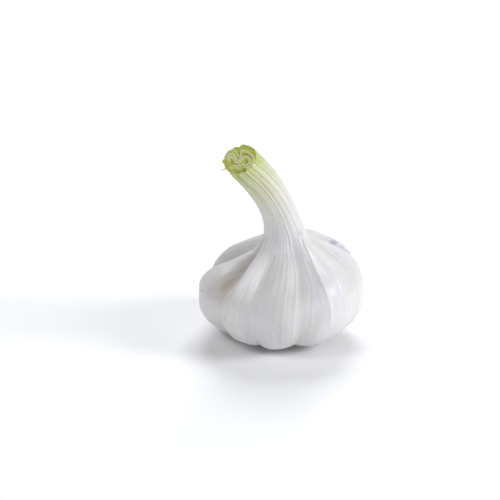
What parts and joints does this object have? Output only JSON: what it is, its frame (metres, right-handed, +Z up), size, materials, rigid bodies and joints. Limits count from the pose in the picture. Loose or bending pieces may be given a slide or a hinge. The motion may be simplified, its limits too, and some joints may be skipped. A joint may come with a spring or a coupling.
{
  "type": "garlic bulb",
  "caption": "Whole bulb of garlic in dry white skin, standing on its trimmed roots, with a green-tipped neck that bends over and is cut off square.",
  "frame": {"origin": "middle of the flat under the roots, on which the bulb stands", "axes": "+Z up along the bulb's own axis, from the roots to the neck; -Y is the side towards which the neck bends most; +X is to the right seen from that side, and the neck also leans to -X"},
  "size_m": [0.0603, 0.0607, 0.0746],
  "materials": {
    "garlic_skin": "satin",
    "root_cork": "matte",
    "dried_root": "matte"
  },
  "bodies": {
    "root": {"bulb": "garlic_skin", "root_plate": "root_cork", "root_tuft": "dried_root"}
  },
  "joints": []
}
